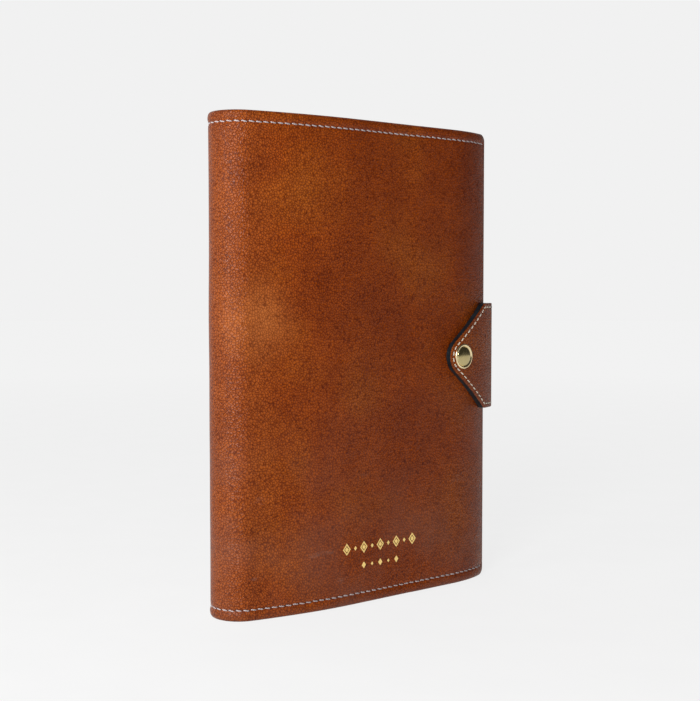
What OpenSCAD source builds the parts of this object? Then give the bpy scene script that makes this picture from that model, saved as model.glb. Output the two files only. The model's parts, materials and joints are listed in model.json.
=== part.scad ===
// Soft leather cover for a bound notebook, closed and fastened with a snap tab.
// It stands on its lower edges. The spine is a row of narrow strips, so the front
// cover can be turned about the back cover until the spine lies flat.

/* [Cover] */
// Height of the cover
cover_h = 225; // [205:1:240]
// Thickness of the outer leather
leather_t = 1.6; // [1.2:0.1:1.8]
// Thickness of the lining
lining_t = 0.8; // [0.5:0.1:1]
// Radius of the outer corners at the fore-edge
corner_r = 4.5; // [2:0.5:8]

/* [Shape from above] */
// Outer radius of the rounded spine
spine_r = 13.6; // [13:0.1:14.5]
// Radius of the soft shoulder next to the spine
shoulder_r = 242; // [200:1:300]
// Turn of the shoulder
shoulder_turn = 13.7; // [12:0.1:15]
// Length of the flat middle of the front
flat_len = 61.3; // [60:0.1:64]
// Radius at which the front bends back near the fore-edge
edge_r = 70; // [60:1:90]
// Turn of the bend near the fore-edge
edge_turn = 24.3; // [20:0.1:25]
// Slope of the front's flat middle against the back
front_tilt = 6; // [5.5:0.1:6.5]

/* [Sleeves] */
// How far each inner sleeve reaches from the fore-edge
sleeve_len = 57; // [45:1:65]
// Thickness of the sleeve's leather
sleeve_t = 1.2; // [0.8:0.1:1.4]
// Depth of the pocket behind the sleeve
pocket_t = 1.2; // [1.1:0.1:1.4]
// Width of the sewn margin round the pocket
margin = 6.5; // [5:0.5:8]

/* [Tab] */
// Height of the tab where it folds round the fore-edge
tab_h = 52; // [44:1:60]
// Height of the tab's middle above the lower edge
tab_z = 113.7; // [100:0.1:125]
// Thickness of the tab's outer leather
tab_t = 1.8; // [1.4:0.1:2]
// Thickness of the tab's lining
tab_lining_t = 1.4; // [1:0.1:1.6]
// Distance from the fore-edge to the rounded ends of the tab's straight sides
tab_straight = 6.5; // [6:0.1:10]
// Distance from the fore-edge to the snap
snap_inset = 25.8; // [23:0.1:26]
// Radius of the tab's round tip, centred on the snap
tip_r = 9; // [8:0.5:10]
// Length of the tab's sewn part on the back
base_len = 42; // [30:1:50]

/* [Snap] */
// Radius of the domed cap
cap_r = 6.2; // [5.8:0.1:7]
// Height of the cap's dome
cap_h = 1.2; // [0.8:0.1:1.6]
// Radius of the stud's head
stud_r = 2.3; // [2:0.1:2.4]
// Height of the stud
stud_h = 2.2; // [1.8:0.1:2.3]

/* [Stitching] */
// Distance between stitches
stitch_pitch = 3.5; // [3:0.1:4.5]
// Distance of the seams from the edges
seam_inset = 5; // [4:0.5:6]
// Length of one stitch
stitch_len = 2.6; // [2:0.1:2.8]
// Width of the thread
thread_w = 0.7; // [0.5:0.1:0.9]
// Lean of the stitches
stitch_lean = 9; // [0:1:15]

/* [Ornament] */
// Height of the row of lozenges above the lower edge
ornament_z = 26.5; // [20:0.5:40]
// Distance between neighbouring lozenges
ornament_pitch = 5.2; // [5:0.1:6]
// Width of the large lozenges
lozenge_w = 4.5; // [2.4:0.1:4.6]

/* [Notebook] */
// Height of the pages
page_h = 210; // [190:1:212]
// Width of the pages
page_w = 130; // [120:1:130]
// Thickness of half the pages at the binding
page_t_spine = 7; // [5:0.1:7]
// Thickness of half the pages at the fore-edge
page_t_edge = 3.9; // [3:0.1:3.9]

/* [Hidden] */
strips = 5;                       // each strip of the spine is a node of its own
strip_gap = 0.2;                  // slit between neighbouring strips
trim = 0.6;                       // lining and sleeve stop this far from the edges
air = 0.4;                        // space between the tab and the front
fold_r = 1;                       // inner radius of the tab's folds
tab_corner_r = 4;
seam_in = 2;                      // the tab's seam runs this far inside its edge
thread_h = 0.3;
gold_t = 0.08;
post_r = 1.6;                     // post that holds the stud in the front
socket_r = 4.9;
socket_lip_r = 3.7;               // mouth of the socket, where the stud enters
socket_bore_r = 3.3;              // inside of the socket's ring
stud_foot_r = 3.2;                // flange on which the stud stands
stud_foot_t = 0.38;
clinch_r = 4;                     // flange of the post behind the front
clinch_t = 0.6;
barrel_wall = 0.4;                // wall of the cap's hollow neck
rim_h = 0.7;                      // rolled rim round the cap's dome
rim_dip_h = 0.5;                  // hollow between the rim and the dome
ornament_shift = 13;              // middle of the ornament, past the start of the flat
ornament_row = 8.5;               // the short row lies this far below the long one
lozenge_high = 0.62;              // half height of a lozenge, as a share of its width
lozenge_sizes = [[1, 0.38], [0.58, 0.31]];  // each row's lozenges and the dots between them
barrel_r = 3.45;                  // neck of the cap, clinched into the socket
crown = 0.18;                     // the leather falls this far away under a flat disc
step_deg = 3;                     // size of the facets on the tight curves
page_gap = 0.05;
page_lean = 1.8;                  // slope of the middle of the pages
gutter = [-2.6, 0.3];             // line on which the pages turn

body_t = leather_t + lining_t;
sleeve_in = body_t + pocket_t + sleeve_t;
a_start = 90 + front_tilt - shoulder_turn;
a_flat = 90 + front_tilt;
a_end = a_flat + edge_turn;
strip_turn = (a_start + 90) / strips;
slit = strip_gap / spine_r * 90 / PI;
tab_all = tab_t + tab_lining_t;

// outward direction at a turn measured from the middle of the spine
function out_dir(a) = [-cos(a), -sin(a)];
function along(a) = [sin(a), -cos(a)];
function arc(c, r, a0, a1) = let (n = max(2, ceil(abs(a1 - a0) / step_deg)))
    [for (i = [0:n]) c + r * out_dir(a0 + (a1 - a0) * i / n)];
function flip(p) = [for (i = [len(p) - 1:-1:0]) p[i]];

// the front seen from above: shoulder, flat middle, bend at the fore-edge
c_shoulder = (spine_r - shoulder_r) * out_dir(a_start);
p_flat = c_shoulder + shoulder_r * out_dir(a_flat);
c_edge = p_flat + flat_len * along(a_flat) - edge_r * out_dir(a_flat);
s_flat = shoulder_r * shoulder_turn * PI / 180;
s_bend = s_flat + flat_len;
s_end = s_bend + edge_r * edge_turn * PI / 180;
fore_edge = c_edge + edge_r * out_dir(a_end);
edge_x = fore_edge[0];

// turn and place of a point on the front, by its distance along it and its depth
function turn_at(s) = s < s_flat ? a_start + s / shoulder_r * 180 / PI
    : s < s_bend ? a_flat : a_flat + (s - s_bend) / edge_r * 180 / PI;
function front_at(s, d) = let (a = turn_at(s))
    s < s_flat ? c_shoulder + (shoulder_r - d) * out_dir(a)
    : s < s_bend ? p_flat + (s - s_flat) * along(a) - d * out_dir(a)
    : c_edge + (edge_r - d) * out_dir(a);
function front_line(s0, s1, d) = concat(
    [for (i = [0:12]) if (s0 < s_flat) front_at(s0 + (min(s1, s_flat) - s0) * i / 12, d)],
    s0 < s_flat || s0 >= s_bend ? [] : [front_at(s0, d)],
    [for (i = [0:14]) if (s1 > s_bend)
        front_at(max(s0, s_bend) + (s1 - max(s0, s_bend)) * i / 14, d)],
    s1 > s_bend ? [] : [front_at(s1, d)]);
function front_layer(s0, s1, d0, d1) =
    concat(front_line(s0, s1, d0), flip(front_line(s0, s1, d1)));

// folds of the tab: one round the back edge, one in front of the fore-edge
tab_dir = along(a_end);
fold_front = fore_edge + 0.9 * tab_dir + (air - fold_r) * out_dir(a_end);
fold_back = [fold_front[0], spine_r - fold_r];
tab_out_x = fold_front[0] + fold_r + tab_all;
bend_front = (a_end + 180) / 2;
bend_back = 225;
tab_slit = strip_gap / (fold_r + tab_all) * 90 / PI;
snap_at = s_end - snap_inset;
snap_x = front_at(snap_at, 0)[0];
cap_base = air + tab_all;

// outline of the tab as seen from the front: a round tip round the snap, two slanted
// sides and two rounded corners; k shrinks it evenly for the seam
knee = [edge_x - tab_straight - snap_x, tab_h / 2 - tab_corner_r];
slant = atan2(knee[1], knee[0]) + acos((tip_r - tab_corner_r) / norm(knee));
function ring(c, r, a0, a1, n) =
    [for (i = [0:n]) c + r * [cos(a0 + (a1 - a0) * i / n), sin(a0 + (a1 - a0) * i / n)]];
tab_outline = concat([[tab_out_x + 1 - snap_x, tab_h / 2]],
    ring(knee, tab_corner_r, 90, slant, 6), ring([0, 0], tip_r, slant, 360 - slant, 24),
    ring([knee[0], -knee[1]], tab_corner_r, 360 - slant, 270, 6),
    [[tab_out_x + 1 - snap_x, -tab_h / 2]]);

// outer face of the flap: turn and place above a given x
flap_out = edge_r + cap_base;
flap_bend_x = c_edge[0] - flap_out * cos(a_flat);
function flap_turn(x) = x < flap_bend_x ? a_flat : acos((c_edge[0] - x) / flap_out);
function flap_y(x) = x < flap_bend_x
    ? c_edge[1] - flap_out * sin(a_flat) + (x - flap_bend_x) * tan(front_tilt)
    : c_edge[1] - flap_out * sin(flap_turn(x));

// the whole part is set so that its box stands centred on the origin
shift = [(spine_r - tab_out_x) / 2, (shoulder_r - c_shoulder[1] - spine_r - tab_all) / 2, 0];

leather = [0.55, 0.29, 0.14];
lining = [0.42, 0.24, 0.14];
thread = [0.85, 0.82, 0.8];
brass = [0.85, 0.76, 0.56];
paper = [0.93, 0.9, 0.82];

module sheet(outline, z0, z1) {
    translate([0, 0, z0]) linear_extrude(z1 - z0) polygon(outline);
}

// what has to go from a square corner at (x, z) to leave it round
module corner_bite(x, z, r, right, up) {
    far = 40;
    difference() {
        translate([right ? x - r : x - 1, -far, up ? z - r : z - 1])
            cube([r + 1, 2 * far, r + 1]);
        translate([right ? x - r : x + r, 0, up ? z - r : z + r])
            rotate([90, 0, 0]) cylinder(r = r, h = 3 * far, center = true, $fn = 48);
    }
}

module panel(outline, z0, z1) {
    difference() {
        sheet(outline, z0, z1);
        corner_bite(edge_x, z0, corner_r, true, false);
        corner_bite(edge_x, z1, corner_r, true, true);
    }
}

function box_outline(x0, x1, y0, y1) = [[x0, y0], [x1, y0], [x1, y1], [x0, y1]];

// one stitch lying on a surface that faces -Y
module stitch(lean = stitch_lean) {
    rotate([0, lean, 0]) translate([-stitch_len / 2, -thread_h, -thread_w / 2])
        cube([stitch_len, thread_h, thread_w]);
}

// the same thing on the seams near the upper and the lower edge
module on_seams() {
    for (z = [seam_inset, cover_h - seam_inset]) translate([0, 0, z]) children();
}

// at a place on the front, with the outward side towards -Y
module on_front(s, z) {
    p = front_at(s, 0);
    translate([p[0], p[1], z]) rotate([0, 0, turn_at(s) - 90]) children();
}

// at the snap, with +Z pointing away from the front
module at_snap() {
    on_front(snap_at, tab_z) rotate([90, 0, 0]) children();
}

// back cover
module back_leather() color(leather) translate(shift)
    panel(box_outline(strip_gap / 2, edge_x, spine_r - leather_t, spine_r), 0, cover_h);

module back_lining() color(lining) translate(shift)
    panel(box_outline(strip_gap / 2, edge_x, spine_r - body_t, spine_r - leather_t),
        trim, cover_h - trim);

module back_sleeve() color(leather) translate(shift) difference() {
    panel(box_outline(edge_x - sleeve_len, edge_x, spine_r - sleeve_in,
        spine_r - body_t), trim, cover_h - trim);
    sheet(box_outline(edge_x - sleeve_len - 1, edge_x - margin / 2,
        spine_r - body_t - pocket_t, spine_r), margin, cover_h - margin);
}

module back_stitching() color(thread) translate(shift) {
    on_seams() for (i = [0:floor(edge_x / stitch_pitch) - 1])
        translate([stitch_pitch * (i + 0.6), spine_r, 0]) rotate([0, 0, 180]) stitch();
}

module notebook_card_back() color(lining) translate(shift)
    sheet(box_outline(2, edge_x - margin / 2 - 1.5, spine_r - body_t - pocket_t + 0.1,
        spine_r - body_t - pocket_t + 0.5), margin + 0.5, cover_h - margin - 0.5);

// tab: sewn base on the back, strap round the fore-edge, flap on the front
function tab_curve(c, o, a0, a1) = arc(c, fold_r + o, a0, a1);
function base_line(o) = concat(tab_curve(fold_back, o, bend_back + tab_slit, 270),
    [[edge_x - base_len, spine_r + o]]);
function strap_line(o) = concat(tab_curve(fold_front, o, bend_front + tab_slit, 180),
    tab_curve(fold_back, o, 180, bend_back - tab_slit));
function flap_line(o) = concat(front_line(snap_at - tip_r - 2, s_end, -air - o),
    tab_curve(fold_front, o, a_end, bend_front - tab_slit));

module tab_layer(inner, outer) {
    sheet(concat(inner, flip(outer)), tab_z - tab_h / 2, tab_z + tab_h / 2);
}

module base_layer(o0, o1) {
    difference() {
        tab_layer(base_line(o0), base_line(o1));
        corner_bite(edge_x - base_len, tab_z - tab_h / 2, tip_r, false, false);
        corner_bite(edge_x - base_len, tab_z + tab_h / 2, tip_r, false, true);
    }
}

module flap_layer(o0, o1, hole_r) {
    difference() {
        intersection() {
            tab_layer(flap_line(o0), flap_line(o1));
            translate([snap_x, 0, tab_z]) rotate([90, 0, 0])
                linear_extrude(80, center = true) polygon(tab_outline);
        }
        at_snap() cylinder(r = hole_r, h = 12, $fn = 64);
    }
}

module tab_base_leather() color(leather) translate(shift)
    base_layer(tab_lining_t, tab_all);
module tab_base_lining() color(lining) translate(shift) base_layer(0, tab_lining_t);
module tab_strap_leather() color(leather) translate(shift)
    tab_layer(strap_line(tab_lining_t), strap_line(tab_all));
module tab_strap_lining() color(lining) translate(shift)
    tab_layer(strap_line(0), strap_line(tab_lining_t));
module tab_flap_leather() color(leather) translate(shift)
    flap_layer(tab_lining_t, tab_all, barrel_r + 0.05);
module tab_flap_lining() color(lining) translate(shift)
    flap_layer(0, tab_lining_t, socket_r + 0.05);

module tab_base_stitching() color(thread) translate([shift[0], shift[1], tab_z]) {
    x0 = edge_x - base_len + seam_in;
    n = floor((base_len - tip_r - 1) / stitch_pitch);
    for (side = [-1, 1], i = [0:n])
        translate([edge_x - base_len + tip_r + stitch_pitch * i, spine_r + tab_all,
            side * (tab_h / 2 - seam_in)]) rotate([0, 0, 180]) stitch();
    m = floor((tab_h / 2 - tip_r) / stitch_pitch);
    for (i = [-m:m]) translate([x0, spine_r + tab_all, stitch_pitch * i])
        rotate([0, 0, 180]) stitch(90);
}

// stitches of the flap: round the tip, along the slanted sides, along the straight ones
module flap_stitch(p, turn) {
    x = snap_x + p[0];
    translate([x, flap_y(x), tab_z + p[1]]) rotate([0, 0, flap_turn(x) - 90])
        stitch(-turn + stitch_lean);
}

module tab_flap_stitching() color(thread) translate(shift) {
    r = tip_r - seam_in;
    side_dir = [cos(slant), sin(slant)];
    from = r * side_dir;
    to = knee + (tab_corner_r - seam_in) * side_dir;
    n = floor(norm(to - from) / stitch_pitch);
    for (side = [-1, 1]) {
        for (i = [0:n - 1]) {
            p = from + (to - from) * (i + 0.5) / n;
            flap_stitch([p[0], side * p[1]], side * (slant - 90));
        }
        for (i = [0:2]) flap_stitch([knee[0] + 0.8 + stitch_pitch * i * 0.9,
            side * (tab_h / 2 - seam_in)], 0);
    }
    for (i = [-1:1]) {
        a = 180 + i * stitch_pitch / r * 180 / PI;
        flap_stitch(r * [cos(a), sin(a)], a - 90);
    }
}

// spine: each strip is one node, and turns on a line on its outer face
module strip(i, d0, d1, z0) {
    a0 = strip_turn * (i - 1) - 90 + slit;
    a1 = strip_turn * i - 90 - slit;
    sheet(concat(arc([0, 0], spine_r - d0, a0, a1), flip(arc([0, 0], spine_r - d1, a0, a1))),
        z0, cover_h - z0);
}

module strip_leather(i) color(leather) translate(shift) strip(i, 0, leather_t, 0);
module strip_lining(i) color(lining) translate(shift) strip(i, leather_t, body_t, trim);
module strip_stitching(i) color(thread) translate(shift)
    on_seams() for (part = [0.25, 0.75]) {
        a = strip_turn * (i - 1 + part) - 90;
        p = spine_r * out_dir(a);
        translate([p[0], p[1], 0]) rotate([0, 0, a - 90]) stitch();
    }

module spine_leather_1() strip_leather(1);
module spine_leather_2() strip_leather(2);
module spine_leather_3() strip_leather(3);
module spine_leather_4() strip_leather(4);
module spine_leather_5() strip_leather(5);
module spine_lining_1() strip_lining(1);
module spine_lining_2() strip_lining(2);
module spine_lining_3() strip_lining(3);
module spine_lining_4() strip_lining(4);
module spine_lining_5() strip_lining(5);
module spine_stitching_1() strip_stitching(1);
module spine_stitching_2() strip_stitching(2);
module spine_stitching_3() strip_stitching(3);
module spine_stitching_4() strip_stitching(4);
module spine_stitching_5() strip_stitching(5);

// front cover
module front_sheet(d0, d1, z0) {
    difference() {
        panel(front_layer(strip_gap / 2, s_end, d0, d1), z0, cover_h - z0);
        at_snap() translate([0, 0, -6]) cylinder(r = post_r, h = 12, $fn = 48);
    }
}

module front_leather() color(leather) translate(shift) front_sheet(0, leather_t, 0);
module front_lining() color(lining) translate(shift) front_sheet(leather_t, body_t, trim);

module front_sleeve() color(leather) translate(shift) difference() {
    panel(front_layer(s_end - sleeve_len, s_end, body_t, sleeve_in), trim, cover_h - trim);
    sheet(front_layer(s_end - sleeve_len - 1, s_end - margin / 2, leather_t,
        body_t + pocket_t), margin, cover_h - margin);
}

module notebook_card_front() color(lining) translate(shift)
    sheet(front_layer(2, s_end - margin / 2 - 1.5, body_t + pocket_t - 0.5,
        body_t + pocket_t - 0.1), margin + 0.5, cover_h - margin - 0.5);

module front_stitching() color(thread) translate(shift)
    on_seams() for (i = [0:floor(s_end / stitch_pitch) - 1])
        on_front(stitch_pitch * (i + 0.6), 0) stitch();

// a row of lozenges with a short row of small ones below it
module front_ornament() color(brass) translate(shift) {
    middle = s_flat + ornament_shift;
    for (row = [0, 1], i = [-4 + 2 * row:4 - 2 * row]) {
        w = lozenge_w * lozenge_sizes[row][i % 2 ? 1 : 0];
        on_front(middle + i * ornament_pitch, ornament_z - ornament_row * row) rotate([90, 0, 0])
            linear_extrude(gold_t)
                polygon([[-w / 2, 0], [0, -w * lozenge_high], [w / 2, 0], [0, w * lozenge_high]]);
    }
}

// snap: the stud and its post are on the front, the socket and the cap on the flap
module snap_stud() color(brass) translate(shift) at_snap() rotate_extrude($fn = 64)
    polygon([[0, 0], [stud_foot_r, 0], [stud_foot_r, 0.25], [stud_foot_r - 0.15, stud_foot_t],
        [stud_r - 0.5, stud_foot_t],
        [stud_r - 0.6, 0.9], [stud_r, stud_h - 0.9], [stud_r, stud_h - 0.5],
        [stud_r - 0.5, stud_h], [0, stud_h]]);

module snap_post() color(brass) translate(shift) at_snap() rotate_extrude($fn = 64)
    polygon([[0, 0], [post_r - 0.05, 0], [post_r - 0.05, -body_t - crown],
        [clinch_r, -body_t - crown], [clinch_r, -body_t - clinch_t], [0, -body_t - clinch_t]]);

module snap_socket() color(brass) translate(shift) at_snap() rotate_extrude($fn = 64)
    polygon([[socket_lip_r, air + 0.1], [socket_r, air + 0.1], [socket_r, air + tab_lining_t - crown],
        [socket_bore_r, air + tab_lining_t - crown], [socket_bore_r, air + 0.6]]);

module snap_cap() color(brass) translate(shift) at_snap() rotate_extrude($fn = 96)
    polygon([[barrel_r - barrel_wall, air + tab_lining_t], [barrel_r, air + tab_lining_t],
        [barrel_r, cap_base], [cap_r, cap_base], [cap_r, cap_base + 0.35],
        [cap_r - 0.15, cap_base + 0.6], [cap_r - 0.5, cap_base + rim_h],
        [cap_r - 0.9, cap_base + 0.6], [cap_r - 1.1, cap_base + rim_dip_h],
        [cap_r * 0.62, cap_base + cap_h * 0.8], [cap_r * 0.32, cap_base + cap_h * 0.96],
        [0, cap_base + cap_h], [0, cap_base + 0.2], [barrel_r - barrel_wall, cap_base + 0.2]]);

// pages: two wedge-shaped halves that turn on the gutter line
module page_half(side) {
    dir = [cos(page_lean), sin(page_lean)];
    up = side * [-sin(page_lean), cos(page_lean)];
    z0 = (cover_h - page_h) / 2;
    end = gutter + page_w * dir;
    difference() {
        sheet([gutter + page_gap * up, end + page_gap * up, end + page_t_edge * up,
            gutter + page_t_spine * up], z0, z0 + page_h);
        corner_bite(end[0], z0, corner_r, true, false);
        corner_bite(end[0], z0 + page_h, corner_r, true, true);
    }
}

module pages_back() color(paper) translate(shift) page_half(1);
module pages_front() color(paper) translate(shift) page_half(-1);

back_leather();
back_lining();
back_sleeve();
back_stitching();
tab_base_leather();
tab_base_lining();
tab_base_stitching();
notebook_card_back();
spine_leather_1();
spine_leather_2();
spine_leather_3();
spine_leather_4();
spine_leather_5();
spine_lining_1();
spine_lining_2();
spine_lining_3();
spine_lining_4();
spine_lining_5();
spine_stitching_1();
spine_stitching_2();
spine_stitching_3();
spine_stitching_4();
spine_stitching_5();
front_leather();
front_lining();
front_sleeve();
front_stitching();
front_ornament();
snap_stud();
snap_post();
notebook_card_front();
tab_strap_leather();
tab_strap_lining();
tab_flap_leather();
tab_flap_lining();
tab_flap_stitching();
snap_socket();
snap_cap();
pages_back();
pages_front();
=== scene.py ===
import bpy
import json
import math
import random
import numpy as np
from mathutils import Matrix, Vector


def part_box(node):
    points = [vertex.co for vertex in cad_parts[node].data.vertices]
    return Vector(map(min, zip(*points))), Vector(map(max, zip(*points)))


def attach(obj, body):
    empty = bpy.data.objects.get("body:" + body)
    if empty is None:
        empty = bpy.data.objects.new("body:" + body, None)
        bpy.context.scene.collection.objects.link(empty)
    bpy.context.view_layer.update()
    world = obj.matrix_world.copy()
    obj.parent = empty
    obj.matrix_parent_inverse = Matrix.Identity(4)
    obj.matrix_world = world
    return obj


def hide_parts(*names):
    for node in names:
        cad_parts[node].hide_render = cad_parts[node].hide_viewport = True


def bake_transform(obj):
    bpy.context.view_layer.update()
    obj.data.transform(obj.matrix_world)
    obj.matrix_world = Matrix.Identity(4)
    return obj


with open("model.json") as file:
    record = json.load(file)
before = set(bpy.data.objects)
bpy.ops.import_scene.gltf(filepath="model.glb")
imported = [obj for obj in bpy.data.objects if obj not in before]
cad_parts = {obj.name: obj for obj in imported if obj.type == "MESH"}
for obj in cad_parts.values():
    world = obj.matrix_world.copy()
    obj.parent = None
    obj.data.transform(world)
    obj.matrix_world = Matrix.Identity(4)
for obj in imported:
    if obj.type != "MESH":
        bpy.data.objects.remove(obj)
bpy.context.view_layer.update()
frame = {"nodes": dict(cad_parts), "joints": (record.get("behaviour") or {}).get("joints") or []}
nodes = frame["nodes"]
joints = {j["name"]: j for j in frame["joints"]}

# ---------------------------------------------------------------- the pattern
# Every leather part is cut flat and then formed. On the flat pattern u runs round
# the cover from the back's fore-edge over the spine to the front's fore-edge, z runs
# up, and d goes down into the leather from its outer face. All in metres.

MM = 0.001
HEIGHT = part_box("front_leather")[1].z
SPINE_R = 13.6 * MM
SHOULDER_R = 242 * MM
SHOULDER_TURN = math.radians(13.7)
FLAT = 61.3 * MM
EDGE_R = 70 * MM
EDGE_TURN = math.radians(24.3)
TILT = math.radians(6)
CORNER_R = 4.5 * MM

LEATHER_T = 1.6 * MM
LINING_T = 0.8 * MM
POCKET_T = 1.2 * MM
SLEEVE_T = 1.2 * MM
TRIM = 0.6 * MM
SLEEVE_LEN = 57 * MM
SEAM = 5 * MM
PITCH = 3.5 * MM

hinge_1 = joints["cover_opening"]["pos_m"]
SPINE_AXIS = np.array([hinge_1[0], hinge_1[1] - SPINE_R])
BACK_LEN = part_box("back_leather")[1].x - SPINE_AXIS[0]
A_BACK = math.radians(-90)
A_SHOULDER = math.radians(90) + TILT - SHOULDER_TURN
A_FLAT = math.radians(90) + TILT
A_EDGE = A_FLAT + EDGE_TURN
STRIPS = 5
SPINE_LEN = SPINE_R * (A_SHOULDER - A_BACK)
STRIP_LEN = SPINE_LEN / STRIPS
U_FRONT = BACK_LEN + SPINE_LEN
U_FLAT = U_FRONT + SHOULDER_R * SHOULDER_TURN
U_BEND = U_FLAT + FLAT
U_END = U_BEND + EDGE_R * EDGE_TURN


def smooth(x):
    """an eased step from 0 to 1"""
    x = np.clip(x, 0, 1)
    return x * x * (3 - 2 * x)


def quarter_round(e, r):
    """how far a quarter round of radius r drops at the distance e from its edge"""
    e = np.clip(e, 0, r)
    return r - np.sqrt(np.maximum(r * r - (r - e) ** 2, 0))


def to_fore_edge(u):
    return np.minimum(u, U_END - u)


def to_long_edge(z):
    return np.minimum(z, HEIGHT - z)


def outward(a):
    return np.stack([-np.cos(a), -np.sin(a)], -1)


def onward(a):
    return np.stack([np.sin(a), -np.cos(a)], -1)


C_SHOULDER = SPINE_AXIS + (SPINE_R - SHOULDER_R) * outward(A_SHOULDER)
P_FLAT = C_SHOULDER + SHOULDER_R * outward(A_FLAT)
C_EDGE = P_FLAT + FLAT * onward(A_FLAT) - EDGE_R * outward(A_FLAT)


def cover_turn(u):
    u = np.asarray(u, float)
    spine = A_BACK + (u - BACK_LEN) / SPINE_R
    shoulder = A_SHOULDER + (u - U_FRONT) / SHOULDER_R
    edge = A_FLAT + (u - U_BEND) / EDGE_R
    return np.select([u < BACK_LEN, u < U_FRONT, u < U_FLAT, u < U_BEND],
                     [A_BACK + 0 * u, spine, shoulder, A_FLAT + 0 * u], edge)


def cover_place(u, d, z):
    """from the flat pattern to the closed cover"""
    u, d = np.asarray(u, float), np.asarray(d, float)
    a = cover_turn(u)
    n, t = outward(a), onward(a)
    flat_back = SPINE_AXIS + np.stack([BACK_LEN - u, SPINE_R + 0 * u], -1)
    on_spine = SPINE_AXIS + SPINE_R * n
    on_shoulder = C_SHOULDER + SHOULDER_R * n
    on_flat = P_FLAT + (u - U_FLAT)[..., None] * t
    on_edge = C_EDGE + EDGE_R * n
    p = np.select([(u < BACK_LEN)[..., None], (u < U_FRONT)[..., None],
                   (u < U_FLAT)[..., None], (u < U_BEND)[..., None]],
                  [flat_back, on_spine, on_shoulder, on_flat], on_edge)
    p = p - d[..., None] * n
    return np.concatenate([p, np.asarray(z, float)[..., None]], -1)


# slow waves of a hide that has been handled: height in mm, turns per metre along u and
# z, and where each one starts
WAVES = ((0.07, 46, 31, 0.6), (0.06, -71, 57, 2.1), (0.04, 118, 96, 4.0), (0.03, 190, -143, 0.0))
SLEEVE_MARK = 0.07              # mm that the sleeves' ends press through
MARK_REACH = 1.6 * MM
SWELL_FADE = 8 * MM             # the waves die out this far from the fore-edges


def hide_swell(u, z):
    """how far the outer face swells and sinks over the whole cover, as a depth"""
    fade = np.clip(to_fore_edge(u) / SWELL_FADE, 0, 1)
    wave = sum(high * np.sin(on_u * u + on_z * z + start) for high, on_u, on_z, start in WAVES)
    for at in (SLEEVE_LEN, U_END - SLEEVE_LEN):
        past = np.abs(u - U_END / 2) - abs(at - U_END / 2)
        wave = wave - SLEEVE_MARK * np.tanh(past / MARK_REACH)
    return wave * MM * fade


EASE_R, EASE_SHARE = 1.5, 0.8           # mm of easing along the long edges
GROOVE_DEEP, GROOVE_WIDE = 0.42, 0.75   # mm of the furrow that the thread pulls in
PUFF_HIGH, PUFF_WIDE, PUFF_AT = 0.26, 1.2, 2.6  # mm of the full margin beside it
SEAM_FADE = (0.6, 4.5)                  # mm from the fore-edge over which both begin


def edge_dip(u, z):
    """how far the outer face lies below its full height near the top and bottom edges"""
    away = smooth((to_fore_edge(u) / MM - SEAM_FADE[0]) / SEAM_FADE[1])
    e = to_long_edge(z) / MM
    groove = GROOVE_DEEP * np.exp(-(((e - SEAM / MM) / GROOVE_WIDE) ** 2))
    puff = PUFF_HIGH * np.exp(-(((e - PUFF_AT) / PUFF_WIDE) ** 2)) * (e > 0.3)
    return (quarter_round(e, EASE_R) * EASE_SHARE + (groove - puff) * away) * MM


# ---------------------------------------------------------------- hand tools

def rest():
    """nothing in hand: object mode, and nothing selected"""
    if bpy.context.object and bpy.context.object.mode != "OBJECT":
        bpy.ops.object.mode_set(mode="OBJECT")
    bpy.ops.object.select_all(action="DESELECT")


def hold(obj):
    rest()
    obj.select_set(True)
    bpy.context.view_layer.objects.active = obj


def edit_all(obj):
    """into edit mode with everything picked"""
    hold(obj)
    bpy.ops.object.mode_set(mode="EDIT")
    bpy.ops.mesh.select_all(action="SELECT")


def put_down():
    bpy.ops.object.mode_set(mode="OBJECT")


def pull_out(x, y, z):
    """extrudes what is picked, and moves the new faces"""
    bpy.ops.mesh.extrude_region_move(TRANSFORM_OT_translate={"value": (x, y, z)})


def settle():
    bpy.ops.object.transform_apply(location=True, rotation=True, scale=True)


def named(name):
    obj = bpy.context.object
    obj.name = name
    obj.data.name = name
    return obj


def get_co(obj):
    co = np.zeros(len(obj.data.vertices) * 3)
    obj.data.vertices.foreach_get("co", co)
    return co.reshape(-1, 3)


def set_co(obj, co):
    obj.data.vertices.foreach_set("co", np.ascontiguousarray(co, float).ravel())
    obj.data.update()


def pick_faces(obj, test):
    """into edit mode with just the faces that pass the test"""
    hold(obj)
    bpy.ops.object.mode_set(mode="EDIT")
    bpy.ops.mesh.select_mode(type="FACE")
    bpy.ops.mesh.select_all(action="DESELECT")
    put_down()
    for face in obj.data.polygons:
        face.select = bool(test(face))
    bpy.ops.object.mode_set(mode="EDIT")


def apply_all(obj):
    hold(obj)
    for m in list(obj.modifiers):
        bpy.ops.object.modifier_apply(modifier=m.name)


def outside_out(obj):
    edit_all(obj)
    bpy.ops.mesh.normals_make_consistent(inside=False)
    put_down()


def shade(obj, angle=40):
    hold(obj)
    bpy.ops.object.shade_smooth_by_angle(angle=math.radians(angle))


def remember_pattern(obj, coords):
    """the place of each vertex on the flat pattern, for the leather's grain to follow"""
    layer = obj.data.attributes.new("pattern", "FLOAT_VECTOR", "POINT")
    layer.data.foreach_set("vector", np.ascontiguousarray(coords, np.float32).ravel())


def drawn_strip(name, section, stations):
    """a flat length with the given section (d, z), drawn out along u through stations"""
    rest()
    bpy.ops.mesh.primitive_circle_add(vertices=len(section), radius=1, fill_type="NGON")
    obj = named(name)
    set_co(obj, np.array([[stations[0], d, z] for d, z in section]))
    edit_all(obj)
    for a, b in zip(stations[:-1], stations[1:]):
        pull_out(b - a, 0, 0)
    put_down()
    return obj


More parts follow.
